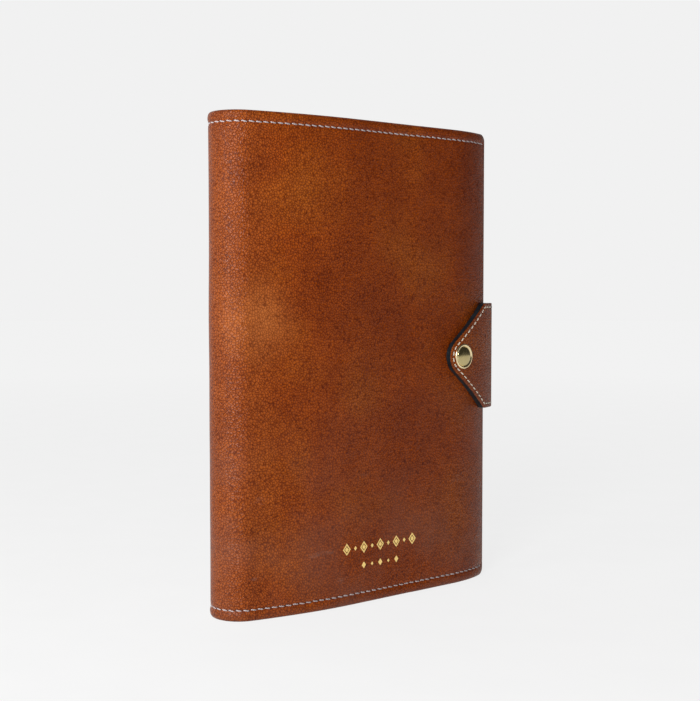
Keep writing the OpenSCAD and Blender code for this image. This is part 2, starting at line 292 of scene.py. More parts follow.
def joined(name, parts):
    rest()
    for p in parts:
        p.select_set(True)
    bpy.context.view_layer.objects.active = parts[0]
    if len(parts) > 1:
        bpy.ops.object.join()
    obj = bpy.context.object
    obj.name = name
    obj.data.name = name
    return obj


def copies(model, name, moves):
    """the model repeated: one mesh with a copy for each function in moves"""
    base = get_co(model)
    parts = []
    for i, move in enumerate(moves):
        twin = model.copy()
        twin.data = model.data.copy()
        bpy.context.scene.collection.objects.link(twin)
        co, pattern = move(base.copy())
        set_co(twin, co)
        remember_pattern(twin, pattern)
        twin.name = f"{name}_{i}"
        parts.append(twin)
    return joined(name, parts)


def scrap(obj):
    mesh = obj.data
    bpy.data.objects.remove(obj)
    bpy.data.meshes.remove(mesh)


def finish_on(obj, *materials):
    obj.data.materials.clear()
    for m in materials:
        obj.data.materials.append(m)


# ---------------------------------------------------------------- finishes

class Bench:
    """a small helper for putting nodes on a material"""

    def __init__(self, name):
        self.mat = bpy.data.materials.new(name)
        self.mat.use_nodes = True
        self.tree = self.mat.node_tree
        self.shader = self.tree.nodes["Principled BSDF"]

    def add(self, kind, **settings):
        node = self.tree.nodes.new(kind)
        for key, value in settings.items():
            setattr(node, key, value)
        return node

    def link(self, a, b):
        self.tree.links.new(a, b)

    def place(self):
        return self.add("ShaderNodeTexCoord").outputs["Object"]

    def pattern(self):
        node = self.add("ShaderNodeAttribute", attribute_name="pattern")
        return node.outputs["Vector"]

    def noise(self, where, scale, detail=3.0, rough=0.55, stretch=None):
        if stretch:
            m = self.add("ShaderNodeMapping")
            m.inputs["Scale"].default_value = stretch
            self.link(where, m.inputs["Vector"])
            where = m.outputs["Vector"]
        node = self.add("ShaderNodeTexNoise")
        node.inputs["Scale"].default_value = scale
        node.inputs["Detail"].default_value = detail
        node.inputs["Roughness"].default_value = rough
        self.link(where, node.inputs["Vector"])
        return node.outputs["Fac"]

    def wandering(self, where, scale, reach):
        """the same place, moved about a little so that cells lose their straight sides"""
        node = self.add("ShaderNodeTexNoise")
        node.inputs["Scale"].default_value = scale
        self.link(where, node.inputs["Vector"])
        push = self.add("ShaderNodeVectorMath", operation="MULTIPLY_ADD")
        self.link(node.outputs["Color"], push.inputs[0])
        push.inputs[1].default_value = (reach, reach, reach)
        self.link(where, push.inputs[2])
        return push.outputs[0]

    def cells(self, where, scale, feature="F1"):
        node = self.add("ShaderNodeTexVoronoi", feature=feature)
        node.inputs["Scale"].default_value = scale
        self.link(where, node.inputs["Vector"])
        return node.outputs["Distance"]

    def ramp(self, value, stops):
        node = self.add("ShaderNodeValToRGB")
        ramp = node.color_ramp
        while len(ramp.elements) < len(stops):
            ramp.elements.new(0.5)
        for element, (at, colour) in zip(ramp.elements, stops):
            element.position = at
            element.color = colour if len(colour) == 4 else (*colour, 1)
        self.link(value, node.inputs["Fac"])
        return node.outputs["Color"]

    def span(self, value, a, b, c, d):
        node = self.add("ShaderNodeMapRange")
        for key, v in zip(("From Min", "From Max", "To Min", "To Max"), (a, b, c, d)):
            node.inputs[key].default_value = v
        self.link(value, node.inputs["Value"])
        return node.outputs["Result"]

    def sums(self, op, a, b):
        node = self.add("ShaderNodeMath", operation=op)
        for socket, v in zip(node.inputs, (a, b)):
            if isinstance(v, (int, float)):
                socket.default_value = v
            else:
                self.link(v, socket)
        return node.outputs[0]

    def times(self, a, b):
        return self.sums("MULTIPLY", a, b)

    def mix(self, fac, a, b, how="MIX"):
        node = self.add("ShaderNodeMix", data_type="RGBA", blend_type=how)
        for key, v in (("Factor", fac), ("A", a), ("B", b)):
            socket = [s for s in node.inputs if s.name == key and s.enabled][0]
            if isinstance(v, (int, float)):
                socket.default_value = v
            elif isinstance(v, tuple):
                socket.default_value = (*v, 1)
            else:
                self.link(v, socket)
        return [s for s in node.outputs if s.enabled][0]

    def bump(self, height, distance, strength=1.0, under=None):
        node = self.add("ShaderNodeBump")
        node.inputs["Distance"].default_value = distance
        node.inputs["Strength"].default_value = strength
        self.link(height, node.inputs["Height"])
        if under is not None:
            self.link(under, node.inputs["Normal"])
        return node.outputs["Normal"]

    def set(self, **values):
        for key, value in values.items():
            socket = self.shader.inputs[key.replace("_", " ")]
            if isinstance(value, bpy.types.NodeSocket):
                self.link(value, socket)
            elif isinstance(value, tuple) and len(value) == 3:
                socket.default_value = (*value, 1) if socket.type == "RGBA" else value
            else:
                socket.default_value = value
        return self.mat


PAINTED_HIGHLIGHT_SPOT = (0.19, 0.133, 0.0)      # where on the pattern a pale highlight is painted on the leather


def grained_leather():
    """cognac leather with a fine pebbled grain, patchy from handling, with painted light, shade
    and floor reflection laid into its colour
    """
    b = Bench("grained_cognac_leather")
    at = b.pattern()
    patches = b.noise(at, 17, 2.5, 0.5)
    mottle = b.noise(at, 62, 4, 0.6)
    speckle = b.noise(at, 420, 3, 0.6)
    wander = b.wandering(at, 500, 0.0009)
    creases = b.cells(wander, 820, "DISTANCE_TO_EDGE")
    pores = b.cells(wander, 800)
    base = b.ramp(patches, [(0.3, (0.2, 0.033, 0.0024)), (0.5, (0.235, 0.042, 0.0032)),
                            (0.7, (0.28, 0.064, 0.0062))])
    tone = b.span(mottle, 0.3, 0.7, 0.87, 1.12)
    fine = b.span(speckle, 0.3, 0.7, 0.86, 1.12)
    # creases and pores are darkened: partly the grain's own tone, partly painted shade where they
    # sink
    crease_tone_and_shade = b.span(creases, 0.0, 0.17, 0.36, 1.14)
    pore_tone_and_shade = b.span(pores, 0.14, 0.42, 0.78, 1.05)
    # painted light: lighter and warmer by the spine, darker out at the fore-edges and a little
    # darker towards the bottom, as the lamps' light falls off
    split = b.add("ShaderNodeSeparateXYZ")
    b.link(at, split.inputs[0])
    z = split.outputs["Y"]
    from_spine = b.sums("ABSOLUTE", b.sums("SUBTRACT", split.outputs["X"], U_END / 2), 0.0)
    painted_falloff = b.times(b.span(from_spine, 0.02, 0.165, 1.06, 0.84),
                   b.span(z, 0.02, 0.2, 0.95, 0.98))
    depth = b.times(b.times(tone, fine), b.times(crease_tone_and_shade, pore_tone_and_shade))
    # painted shade: darker again over the middle of the spine
    depth = b.times(b.times(depth, painted_falloff), b.span(from_spine, 0.008, 0.03, 0.86, 1.0))
    # the darker the grain, its painted crease shade and the painted falloff, the redder it looks
    shades = b.add("ShaderNodeCombineXYZ")
    for channel, power in zip(shades.inputs, (1.0, 1.3, 1.5)):
        b.link(b.sums("POWER", depth, power), channel)
    # the colour is browner and less saturated over the middle of the spine
    base = b.mix(b.span(from_spine, 0.008, 0.034, 0.45, 0.0), base, (0.245, 0.068, 0.016))
    colour = b.mix(1.0, base, shades.outputs[0], "MULTIPLY")
    # the bottom edge is darkened with painted shade and the top edge by handled wear, and a faint
    # painted reflection of the floor lies grey across the lower part
    low = b.span(z, 0.0, 0.005, 0.4, 0.0)
    high = b.span(z, HEIGHT - 0.004, HEIGHT, 0.0, 0.2)
    bottom_shade_and_top_wear = b.times(b.sums("ADD", low, high), b.span(mottle, 0.35, 0.65, 0.6, 1.0))
    colour = b.mix(bottom_shade_and_top_wear, colour, (0.075, 0.018, 0.006))
    # a painted highlight: a paler patch beside the spine, where the light glances off the
    # shoulder
    rub = b.add("ShaderNodeVectorMath", operation="DISTANCE")
    b.link(at, rub.inputs[0])
    rub.inputs[1].default_value = PAINTED_HIGHLIGHT_SPOT
    painted_highlight = b.times(b.span(rub.outputs["Value"], 0.004, 0.022, 0.62, 0.0),
                     b.times(b.span(mottle, 0.3, 0.6, 0.5, 1.0), crease_tone_and_shade))
    colour = b.mix(painted_highlight, colour, (0.42, 0.125, 0.03))
    # painted reflection: the pale floor shows as faint grey streaks over the lower part
    floor_sheen_streak_noise = b.noise(at, 38, 5, 0.7, (1.0, 3.2, 1.0))
    floor_sheen_streaks = b.times(b.span(floor_sheen_streak_noise, 0.63, 0.74, 0.0, 0.3), b.span(z, 0.02, 0.08, 1.0, 0.0))
    colour = b.mix(floor_sheen_streaks, colour, (0.3, 0.2, 0.16))
    # painted reflection: a pinkish grey haze low on the cover, where the floor reflects
    floor_sheen_haze = b.times(b.span(b.noise(at, 24, 3, 0.5), 0.44, 0.62, 0.0, 0.26),
                    b.span(z, 0.03, 0.1, 1.0, 0.0))
    colour = b.mix(floor_sheen_haze, colour, (0.17, 0.075, 0.052))
    sheen = b.span(b.noise(at, 90, 4, 0.6), 0.3, 0.7, 0.25, 0.35)
    gloss = b.sums("ADD", sheen, b.span(creases, 0.0, 0.1, 0.12, 0.0))
    pebble = b.span(creases, 0.0, 0.3, 0.0, 1.0)
    coarse = b.bump(b.noise(at, 150, 3, 0.5), 0.0006, 0.4)
    normal = b.bump(b.sums("ADD", pebble, b.times(speckle, 0.4)), 0.00013, 1.0, coarse)
    return b.set(Base_Color=colour, Roughness=gloss, Normal=normal, Specular_IOR_Level=0.11)


def lining_leather():
    b = Bench("smooth_lining_leather")
    at = b.pattern()
    cloud = b.noise(at, 40, 4, 0.6)
    fine = b.noise(at, 700, 3, 0.6)
    colour = b.ramp(cloud, [(0.3, (0.13, 0.045, 0.018)), (0.7, (0.2, 0.075, 0.03))])
    colour = b.mix(b.span(fine, 0.3, 0.7, 0.0, 0.35), colour, (0.09, 0.03, 0.012))
    normal = b.bump(fine, 0.0001, 0.6)
    return b.set(Base_Color=colour, Roughness=b.span(cloud, 0.3, 0.7, 0.5, 0.66), Normal=normal,
                 Specular_IOR_Level=0.35)


def painted_edge():
    b = Bench("painted_edge")
    at = b.place()
    run = b.noise(at, 500, 3, 0.5, (1, 1, 0.4))
    colour = b.ramp(run, [(0.3, (0.002, 0.0055, 0.008)), (0.7, (0.006, 0.016, 0.022))])
    return b.set(Base_Color=colour, Roughness=b.span(run, 0.3, 0.7, 0.3, 0.5),
                 Normal=b.bump(run, 0.0002, 0.5), Specular_IOR_Level=0.5)


def waxed_thread(name, tint, deep):
    b = Bench(name)
    at = b.place()
    twist = b.add("ShaderNodeTexWave", wave_type="BANDS", bands_direction="DIAGONAL")
    twist.inputs["Scale"].default_value = 900
    twist.inputs["Distortion"].default_value = 2.0
    b.link(at, twist.inputs["Vector"])
    fibre = b.noise(at, 2600, 3, 0.6)
    blend = b.times(twist.outputs["Fac"], b.span(fibre, 0.3, 0.7, 0.6, 1.0))
    colour = b.mix(blend, deep, tint)
    return b.set(Base_Color=colour, Roughness=b.span(fibre, 0.3, 0.7, 0.55, 0.75),
                 Normal=b.bump(blend, 0.00012, 0.6), Specular_IOR_Level=0.3)


# painted shade: the dark of a needle hole, laid on a flat disc
def needle_hole_shade():
    b = Bench("needle_hole")
    grit = b.noise(b.place(), 1500, 2, 0.5)
    colour = b.ramp(grit, [(0.3, (0.012, 0.005, 0.003)), (0.7, (0.03, 0.012, 0.007))])
    return b.set(Base_Color=colour, Roughness=b.span(grit, 0.3, 0.7, 0.8, 0.95))


def brass(name, tint, rough):
    b = Bench(name)
    at = b.place()
    rub = b.noise(at, 1400, 3, 0.6, (1, 1, 0.2))
    tarnish = b.noise(at, 160, 3, 0.6)
    colour = b.mix(b.span(tarnish, 0.4, 0.75, 0.0, 0.45), tint,
                   (tint[0] * 0.62, tint[1] * 0.55, tint[2] * 0.45))
    return b.set(Base_Color=colour, Metallic=1.0, Roughness=b.span(rub, 0.3, 0.7, *rough),
                 Normal=b.bump(rub, 0.00003, 0.4))


def foil():
    b = Bench("stamped_foil")
    at = b.pattern()
    wear = b.noise(at, 900, 3, 0.7)
    colour = b.mix(b.span(wear, 0.55, 0.75, 0.0, 0.5), (0.95, 0.68, 0.23), (0.45, 0.24, 0.06))
    return b.set(Base_Color=colour, Metallic=0.45, Roughness=b.span(wear, 0.3, 0.7, 0.3, 0.46),
                 Normal=b.bump(wear, 0.00004, 0.4))


def page_edges():
    """cream paper: fine leaf lines across the block's thickness"""
    b = Bench("cream_paper")
    at = b.pattern()
    leaves = b.noise(at, 60, 3, 0.6, (0.05, 130, 0.05))
    soft = b.noise(at, 12, 2, 0.5)
    colour = b.mix(b.span(leaves, 0.35, 0.65, 0.0, 0.45), (0.83, 0.77, 0.63), (0.62, 0.54, 0.4))
    colour = b.mix(b.span(soft, 0.4, 0.8, 0.0, 0.1), colour, (0.7, 0.6, 0.43))
    return b.set(Base_Color=colour, Roughness=b.span(leaves, 0.3, 0.7, 0.8, 0.92),
                 Normal=b.bump(leaves, 0.00025, 0.7), Specular_IOR_Level=0.25)


def dark_card():
    b = Bench("dark_card")
    at = b.place()
    fibre = b.noise(at, 800, 4, 0.6)
    cloud = b.noise(at, 60, 3, 0.6)
    colour = b.ramp(cloud, [(0.3, (0.018, 0.019, 0.022)), (0.7, (0.032, 0.032, 0.036))])
    colour = b.mix(b.span(fibre, 0.4, 0.7, 0.0, 0.3), colour, (0.05, 0.05, 0.055))
    return b.set(Base_Color=colour, Roughness=b.span(fibre, 0.3, 0.7, 0.6, 0.8),
                 Normal=b.bump(fibre, 0.00012, 0.6), Specular_IOR_Level=0.3)


LEATHER = grained_leather()
LINING = lining_leather()
EDGE = painted_edge()
THREAD = waxed_thread("waxed_thread", (0.55, 0.49, 0.49), (0.28, 0.22, 0.22))
CREAM_THREAD = waxed_thread("cream_thread", (0.74, 0.69, 0.6), (0.42, 0.36, 0.28))
HOLE_SHADE = needle_hole_shade()
BRASS = brass("pale_brass", (0.9, 0.74, 0.44), (0.16, 0.3))
# brass darkened to paint the dark reflection in the cap's dome
DARK_REFLECTION_BRASS = brass("brass_painted_dark_reflection", (0.5, 0.41, 0.2), (0.14, 0.26))
FOIL = foil()
PAPER = page_edges()
CARD = dark_card()

# ---------------------------------------------------------------- the cover's leather

CUTS = [0] + [BACK_LEN + (k + 0.5) * STRIP_LEN for k in range(STRIPS)] + [U_END]
REGIONS = ["back", "spine_a", "spine_b", "spine_c", "spine_d", "front"]


def stations(u0, u1):
    """cuts along the pattern: close on the spine and at the fore-edges, wide elsewhere"""
    marks = [u0]
    while marks[-1] < u1 - 1e-7:
        u = marks[-1]
        ends = min(u, U_END - u)
        if BACK_LEN - 3 * MM < u < U_FRONT + 3 * MM:
            step = STRIP_LEN / 12
        elif ends < 1.6 * MM:
            step = 0.25 * MM
        elif ends < 6 * MM:
            step = 0.6 * MM
        elif abs(ends - SLEEVE_LEN) < 5 * MM:
            step = 0.9 * MM
        else:
            step = 2.4 * MM
        marks.append(min(u + step, u1) if u1 - u - step > 0.1 * MM else u1)
    return marks


# mm from a long edge at which a row of points runs along the outer leather
EDGE_ROWS = [0.0, 0.12, 0.35, 0.7, 1.1, 1.6, 2.1, 2.6, 3.1, 3.6, 4.0, 4.3, 4.55, 4.8, 5.0,
             5.2, 5.45, 5.7, 6.1, 6.8, 8.5, 12, 16]


def outer_section():
    """outer leather: full face, with the cut edges at the top and the bottom"""
    top = [HEIGHT - e * MM for e in EDGE_ROWS]
    middle = list(np.linspace(HEIGHT - 21 * MM, 21 * MM, 30))
    bottom = [e * MM for e in reversed(EDGE_ROWS)]
    face = [(0.0, z) for z in top + middle + bottom]
    low = [0.3 * MM, 4 * MM, 20 * MM]
    rows = low + list(np.linspace(40 * MM, HEIGHT - 40 * MM, 5)) \
        + [HEIGHT - z for z in reversed(low)]
    cut = LEATHER_T * 0.8
    return face + [(cut, 0.0)] + [(LEATHER_T, z) for z in rows] + [(cut, HEIGHT)]


CORNER_REACH = 22 * MM          # rows this close to a long edge follow its corner
CORNER_SHARE = 0.98             # and bend just short of it, so no two rows meet


def round_corners(u, z):
    """draws the rows in round the outer corners at the fore-edges"""
    bite = quarter_round(to_fore_edge(u), CORNER_R)
    near = smooth(1 - to_long_edge(z) / CORNER_REACH)
    return z + np.where(z < HEIGHT / 2, 1, -1) * bite * near * CORNER_SHARE


LIP_R, LIP_SHARE = 1.4 * MM, 0.75       # turned-down fore-edge of the outer leather


def form_outer(obj):
    co = get_co(obj)
    u, d, z = co.T
    face = d < LEATHER_T * 0.5
    rounded = quarter_round(to_fore_edge(u), LIP_R) * LIP_SHARE
    dip = np.where(face, edge_dip(u, z) + hide_swell(u, z) + rounded, 0)
    d2 = np.minimum(d + dip, LEATHER_T - 0.05 * MM * face)
    z2 = round_corners(u, z)
    set_co(obj, cover_place(u, d2, z2))
    remember_pattern(obj, np.stack([u, z, d], -1))


def joins_bodies(obj, k, depth):
    """works out where a piece of region k would bend between its two bodies, then only bakes its
    transform into its mesh
    """
    hinge = BACK_LEN + k * STRIP_LEN
    u0 = CUTS[k] if k else hinge - 2 * MM
    u1 = CUTS[k + 1] if k < STRIPS else hinge + 2 * MM
    start = cover_place(np.array([u0]), np.array([depth]), np.array([0.0]))[0]
    end = cover_place(np.array([u1]), np.array([depth]), np.array([0.0]))[0]
    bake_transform(obj)


def sheet_pieces(kind, section, form, material, stands_for):
    made = []
    for k, region in enumerate(REGIONS):
        obj = drawn_strip(f"{region}_{kind}", section, stations(CUTS[k], CUTS[k + 1]))
        form(obj)
        outside_out(obj)
        finish_on(obj, material)
        shade(obj, 50)
        joins_bodies(obj, k, LEATHER_T + LINING_T)
        for node in stands_for[k]:
            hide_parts(node)
        made.append(obj)
    return made


sheet_pieces("outer_leather", outer_section(), form_outer, LEATHER,
             [["back_leather"], ["spine_leather_1"], ["spine_leather_2"], ["spine_leather_3"],
              ["spine_leather_4", "spine_leather_5"], ["front_leather"]])


def lining_section():
    a, b = LEATHER_T, LEATHER_T + LINING_T
    rows = [TRIM, 2 * MM, 8 * MM, *np.linspace(25 * MM, HEIGHT - 25 * MM, 8),
            HEIGHT - 8 * MM, HEIGHT - 2 * MM, HEIGHT - TRIM]
    return [(a, z) for z in reversed(rows)] + [(b - 0.15 * MM, rows[0])] \
        + [(b, z + (0.2 * MM if i == 0 else -0.2 * MM if i == len(rows) - 1 else 0))
           for i, z in enumerate(rows)] + [(b - 0.15 * MM, rows[-1])]


def form_lining(obj):
    co = get_co(obj)
    u, d, z = co.T
    set_co(obj, cover_place(u, d, round_corners(u, z)))
    remember_pattern(obj, np.stack([u, z, d], -1))


sheet_pieces("inner_lining", lining_section(), form_lining, LINING,
             [["back_lining"], ["spine_lining_1"], ["spine_lining_2"], ["spine_lining_3"],
              ["spine_lining_4", "spine_lining_5"], ["front_lining"]])

# ---------------------------------------------------------------- sewing


def model_stitch(name, length, width, height, material):
    """one pull of thread: an arched, waisted tube with both ends dipping into the leather"""
    rest()
    bpy.ops.mesh.primitive_cylinder_add(vertices=8, radius=width / 2, depth=length * 0.5,
                                        end_fill_type="NGON", rotation=(0, math.pi / 2, 0))
    obj = named(name)
    settle()
    for side in (-1, 1):
        pick_faces(obj, lambda f: f.center.x * side > length * 0.2 and abs(f.normal.x) > 0.9)
        for out, size in ((0.14, 0.86), (0.08, 0.62)):
            pull_out(side * length * out, 0, 0)
            bpy.ops.transform.resize(value=(1, size, size))
    put_down()
    co = get_co(obj)
    along = co[:, 0] / (length / 2)
    co[:, 1] = co[:, 1] * (height / width) - height * 0.42 * (1 - along ** 2) + height * 0.25
    set_co(obj, co)
    finish_on(obj, material)
    shade(obj, 70)
    return obj


def model_hole(name, size):
    """the prick between two stitches: a dark disc of painted shade where the hole is"""
    rest()
    bpy.ops.mesh.primitive_cylinder_add(vertices=8, radius=size / 2, depth=0.2 * MM,
                                        rotation=(math.pi / 2, 0, 0))
    obj = named(name)
    settle()
    co = get_co(obj)
    co[:, 0] *= 1.35
    set_co(obj, co)
    finish_on(obj, HOLE_SHADE)
    return obj


stitch = model_stitch("stitch_model", 2.9 * MM, 0.66 * MM, 0.55 * MM, THREAD)
hole = model_hole("hole_model", 0.75 * MM)
random.seed(7)


def lean(co, angle):
    """turns a flat piece (x along, y inwards, z up) in the plane of the leather"""
    c, s = math.cos(angle), math.sin(angle)
    x, z = co[:, 0] * c - co[:, 2] * s, co[:, 0] * s + co[:, 2] * c
    return np.stack([x, co[:, 1], z], -1)


def on_cover(u0, z0, depth, angle):
    def move(co):
        co = lean(co, angle)
        u, z = u0 + co[:, 0], z0 + co[:, 2]
        seat = np.full(len(u), u0), np.full(len(u), z0)
        d = edge_dip(*seat) + hide_swell(*seat) + co[:, 1] + depth
        return cover_place(u, d, z), np.stack([u, z, d], -1)
    return move


ROWS = (SEAM, HEIGHT - SEAM)
count = int((U_END - 4 * MM) / PITCH)
first = (U_END - (count - 1) * PITCH) / 2
places = [first + i * PITCH for i in range(count)]
SEWN_NODES = [["back_stitching"], ["spine_stitching_1"], ["spine_stitching_2"],
              ["spine_stitching_3"], ["spine_stitching_4", "spine_stitching_5"],
              ["front_stitching"]]
STITCH_LEAN = math.radians(-9)
THREAD_SINK, PRICK_SINK = -0.06 * MM, 0.07 * MM
for k, region in enumerate(REGIONS):
    own = [u for u in places if CUTS[k] <= u < CUTS[k + 1]]
    threads, pricks = [], []
    for row in ROWS:
        for u in own:
            wobble = math.radians(random.uniform(-2.5, 2.5))
            threads.append(on_cover(u + random.uniform(-0.1, 0.1) * MM,
                                    row + random.uniform(-0.07, 0.07) * MM, THREAD_SINK,
                                    STITCH_LEAN + wobble))
            if u + PITCH / 2 < U_END - 3 * MM:
                pricks.append(on_cover(u + PITCH / 2, row, PRICK_SINK, 0))
    sewn = copies(stitch, f"{region}_threads", threads)
    holes = copies(hole, f"{region}_needle_holes", pricks)
    for obj in (sewn, holes):
        outside_out(obj)
        joins_bodies(obj, k, LEATHER_T + LINING_T)
    for node in SEWN_NODES[k]:
        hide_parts(node)

# ---------------------------------------------------------------- sleeves inside

SLEEVE_TOP = LEATHER_T + LINING_T


def sleeve_section():
    low = [TRIM, 1.2 * MM, 3 * MM, 5 * MM, 6.5 * MM, 8 * MM, 10 * MM, 14 * MM]
    rows = low + list(np.linspace(24 * MM, HEIGHT - 24 * MM, 14)) \
        + [HEIGHT - z for z in reversed(low)]
    return [(0.0, z) for z in reversed(rows)] + [(SLEEVE_T, z) for z in rows]


POCKET_START, POCKET_RISE = 4.6 * MM, 4.2 * MM  # the sleeve lifts off inside its seam
SLEEVE_GROOVE, SLEEVE_GROOVE_WIDE = 0.25 * MM, 0.8 * MM
MOUTH_EASE, MOUTH_REACH = 0.45 * MM, 1.2 * MM   # the mouth's edge is thinned
SLEEVE_LIP_R, SLEEVE_LIP_SHARE = 0.8 * MM, 0.6
SLEEVE_CUT = 0.4                # the sleeves are cut from another part of the hide


def form_sleeve(obj, at_front):
    co = get_co(obj)
    e, d, z = co.T                      # e is the distance from the fore-edge
    u = U_END - e if at_front else e
    rim = np.minimum(to_long_edge(z), e + 1.5 * MM)
    lift = smooth((rim - POCKET_START) / POCKET_RISE) * POCKET_T
    inside = d > SLEEVE_T * 0.5
    groove = np.exp(-(((rim - SEAM) / SLEEVE_GROOVE_WIDE) ** 2)) * SLEEVE_GROOVE
    mouth = np.clip(1 - (SLEEVE_LEN - e) / MOUTH_REACH, 0, 1) ** 2 * MOUTH_EASE
    rounded = quarter_round(to_fore_edge(u), SLEEVE_LIP_R) * SLEEVE_LIP_SHARE
    depth = SLEEVE_TOP + d + lift - np.where(inside, groove, 0)
    depth = depth + np.where(inside, -mouth, mouth) - np.where(inside, rounded, 0)
    set_co(obj, cover_place(u, depth, round_corners(u, z)))
    remember_pattern(obj, np.stack([u + SLEEVE_CUT, z, d], -1))


sleeve_steps = [e * MM for e in (0, 0.25, 0.6, 1.0, 1.5, 2.2, 3.1, 4, 5, 6, 7, 8.2, 10)] \
    + list(np.linspace(13 * MM, SLEEVE_LEN - 4 * MM, 14)) \
    + [SLEEVE_LEN - e * MM for e in (2, 1.2, 0.8, 0.4, 0.1, 0)]
for side, body, node, at_front in (("back", "back_cover", "back_sleeve", False),
                                   ("front", "front_cover", "front_sleeve", True)):
    sleeve = drawn_strip(f"{side}_sleeve_panel", sleeve_section(), sleeve_steps)
    form_sleeve(sleeve, at_front)
    outside_out(sleeve)
    finish_on(sleeve, LINING)
    shade(sleeve, 50)
    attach(sleeve, body)
    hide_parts(node)

# ---------------------------------------------------------------- the tab
# Flat pattern of the tab: w runs from its round tip on the front, round the
# fore-edge, to the end of its sewn base on the back; d goes down from its outer face.

TAB_T = 3.2 * MM
AIR = 0.4 * MM
FOLD_R = 1.0 * MM
TAB_H = 52 * MM
TAB_CORNER = 4 * MM
TIP_R = 9 * MM
STRAIGHT = 6.5 * MM
SNAP_INSET = 25.8 * MM
BASE_LEN = 42 * MM
GAP = 0.9 * MM
stud_low, stud_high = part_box("snap_stud")
TAB_Z = (stud_low.z + stud_high.z) / 2
U_SNAP = U_END - SNAP_INSET
FORE_EDGE = cover_place(np.array([U_END]), np.array([0.0]), np.array([0.0]))[0][:2]
FOLD_FRONT = FORE_EDGE + GAP * onward(A_EDGE) + (AIR - FOLD_R) * outward(A_EDGE)
FOLD_BACK = np.array([FOLD_FRONT[0], SPINE_AXIS[1] + SPINE_R - FOLD_R])
MID_R = FOLD_R + TAB_T / 2
W_TIP = U_SNAP - TIP_R
W_GAP = U_END
W_FOLD = W_GAP + GAP
W_SIDE = W_FOLD + MID_R * (math.pi - A_EDGE)
W_TURN = W_SIDE + (FOLD_BACK[1] - FOLD_FRONT[1])
W_BASE = W_TURN + MID_R * math.pi / 2
W_END = W_BASE + FOLD_FRONT[0] - (SPINE_AXIS[0] + BACK_LEN - BASE_LEN)


def tab_place(w, d, z):
    """from the tab's flat pattern to its place round the closed cover"""
    w, d = np.asarray(w, float), np.asarray(d, float)
    o = TAB_T - d                                  # height above the cover's face
    front = cover_place(np.minimum(w, U_END), -(AIR + o), z)[..., :2]
    n_edge = outward(np.full(w.shape, A_EDGE))
    straight = FORE_EDGE + (w - W_GAP)[..., None] * onward(A_EDGE) + (AIR + o)[..., None] * n_edge
    a = A_EDGE + (w - W_FOLD) / MID_R
    fold = FOLD_FRONT + (FOLD_R + o)[..., None] * outward(a)
    side = FOLD_FRONT + np.stack([FOLD_R + o, w - W_SIDE], -1)
    a2 = math.pi + (w - W_TURN) / MID_R
    turn = FOLD_BACK + (FOLD_R + o)[..., None] * outward(a2)
    base = FOLD_BACK + np.stack([-(w - W_BASE), FOLD_R + o], -1)
    p = np.select([(w < W_GAP)[..., None], (w < W_FOLD)[..., None], (w < W_SIDE)[..., None],
                   (w < W_TURN)[..., None], (w < W_BASE)[..., None]],
                  [front, straight, fold, side, turn], base)
    return np.concatenate([p, np.asarray(z, float)[..., None]], -1)


def circle_run(c, r, a0, a1, n):
    return [(c[0] + r * math.cos(a0 + (a1 - a0) * i / n),
             c[1] + r * math.sin(a0 + (a1 - a0) * i / n)) for i in range(n + 1)]


TAB_DROP = 1.04                 # the half below the snap is cut a little deeper
KNEE = (U_END - STRAIGHT - U_SNAP, TAB_H / 2 - TAB_CORNER)
SLANT = math.atan2(KNEE[1], KNEE[0]) + math.acos((TIP_R - TAB_CORNER) / math.hypot(*KNEE))


def tab_outline(inset=0.0):
    """half outlines joined: round tip, slanted sides, rounded knees, round base corners"""
    r_end, r_knee = TIP_R - inset, TAB_CORNER - inset
    upper = circle_run((U_SNAP, 0), r_end, math.pi, SLANT, 18) \
        + circle_run((U_SNAP + KNEE[0], KNEE[1]), r_knee, SLANT, math.pi / 2, 8) \
        + circle_run((W_END - TIP_R, TAB_H / 2 - TIP_R), r_end, math.pi / 2, 0, 10)
    lower = [(w, -z * TAB_DROP) for w, z in reversed(upper[1:])]
    return upper + lower


def tab_blank():
    """the tab cut flat: its outline and thickness; the eased edges and the seam's groove are
    inset afterwards
    """
    outline = tab_outline()
    rest()
    bpy.ops.mesh.primitive_circle_add(vertices=len(outline), radius=1, fill_type="NGON")
    obj = named("tab_blank")
    set_co(obj, np.array([[w, TAB_T, z] for w, z in outline]))
    edit_all(obj)
    pull_out(0, -TAB_T, 0)
    put_down()
    outside_out(obj)
    return obj


def inset_face(obj, pick, steps):
    """insets the picked face step by step, each (width, rise)"""
    pick_faces(obj, pick)
    for width, rise in steps:
        bpy.ops.mesh.inset(thickness=width, depth=rise, use_even_offset=True)
    put_down()


def slice_at(obj, marks):
    """cuts across the blank, so it can follow the folds"""
    hold(obj)
    bpy.ops.object.mode_set(mode="EDIT")
    for w in marks:
        bpy.ops.mesh.select_all(action="SELECT")
        bpy.ops.mesh.bisect(plane_co=(w, 0, 0), plane_no=(1, 0, 0))
    put_down()


def crop(obj, w, keep_low):
    edit_all(obj)
    bpy.ops.mesh.bisect(plane_co=(w, 0, 0), plane_no=(1, 0, 0), use_fill=True,
                        clear_outer=keep_low, clear_inner=not keep_low)
    put_down()


blank = tab_blank()
